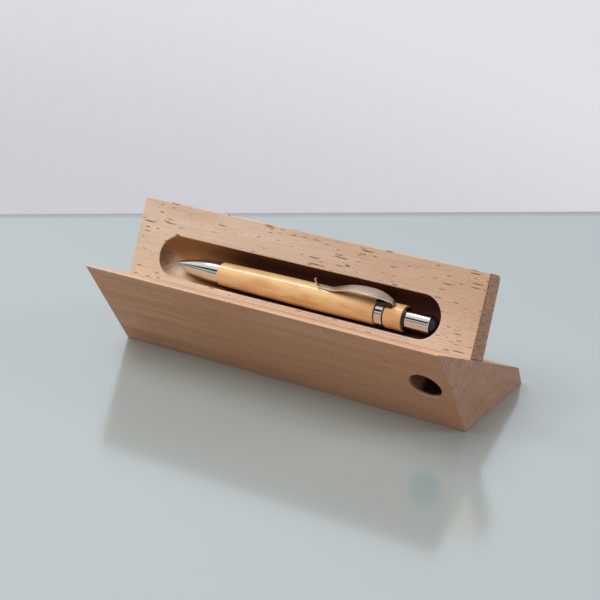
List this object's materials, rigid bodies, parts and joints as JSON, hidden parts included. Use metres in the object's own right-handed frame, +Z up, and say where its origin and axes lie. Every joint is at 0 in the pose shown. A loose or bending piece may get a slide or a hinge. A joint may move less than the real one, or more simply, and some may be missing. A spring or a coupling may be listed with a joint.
{
  "type": "wooden pen box",
  "caption": "Two-part beech pen box: a wedge base with a round blind hole, and an upright board whose long trough holds a bamboo click pen.",
  "frame": {"origin": "middle of the box's outline, on the surface that it stands on", "axes": "+X along the box to the end with the blind hole, +Y to the back, +Z up; the user looks along +Y"},
  "size_m": [0.18, 0.078, 0.0644],
  "materials": {
    "beech": "fine-sanded, oiled",
    "bamboo": "gloss lacquer",
    "chrome": "polished plating",
    "black_plastic": "gloss moulded",
    "black_rubber": "soft matte",
    "white_plastic": "moulded acetal",
    "brass": "turned",
    "spring_steel": "drawn wire",
    "magnet": "nickel plated"
  },
  "bodies": {
    "base": {"base_block": "beech", "base_magnets": "magnet"},
    "board": {"pen_board": "beech", "board_magnets": "magnet"},
    "pen": {"nose_cone": "chrome", "lower_barrel": "bamboo", "barrel_liner": "brass", "front_gasket": "black_rubber", "joint_ring": "chrome", "rear_gasket": "black_rubber", "upper_barrel": "bamboo", "end_collar": "black_plastic", "clip_mount": "black_plastic", "cam_sleeve": "white_plastic", "return_spring": "spring_steel"},
    "button": {"pusher": "chrome", "soft_tip": "black_rubber", "plunger": "white_plastic", "rotor": "white_plastic", "refill_tube": "white_plastic", "refill_point": "brass"},
    "spring_clip": {"clip": "chrome"}
  },
  "joints": [
    {"name": "board_lift", "type": "slide", "parent": "base", "child": "board", "axis": [0, 0.451, 0.8925], "range_m": [0, 0.06]},
    {"name": "pen_lift", "type": "slide", "parent": "board", "child": "pen", "axis": [0, -0.8925, 0.451], "range_m": [0, 0.03]},
    {"name": "button_click", "type": "slide", "parent": "pen", "child": "button", "axis": [-1, 0, 0], "range_m": [0, 0.005], "stiffness_N_per_m": 300, "springref_m": -0.004, "deforming": ["return_spring"]},
    {"name": "clip_flex", "type": "hinge", "parent": "pen", "child": "spring_clip", "pos_m": [0.0478, -0.00401, 0.04537], "axis": [0, 0.9659, 0.2588], "range_deg": [0, 8], "stiffness_Nm_per_rad": 1.4, "springref_deg": -1.15}
  ]
}
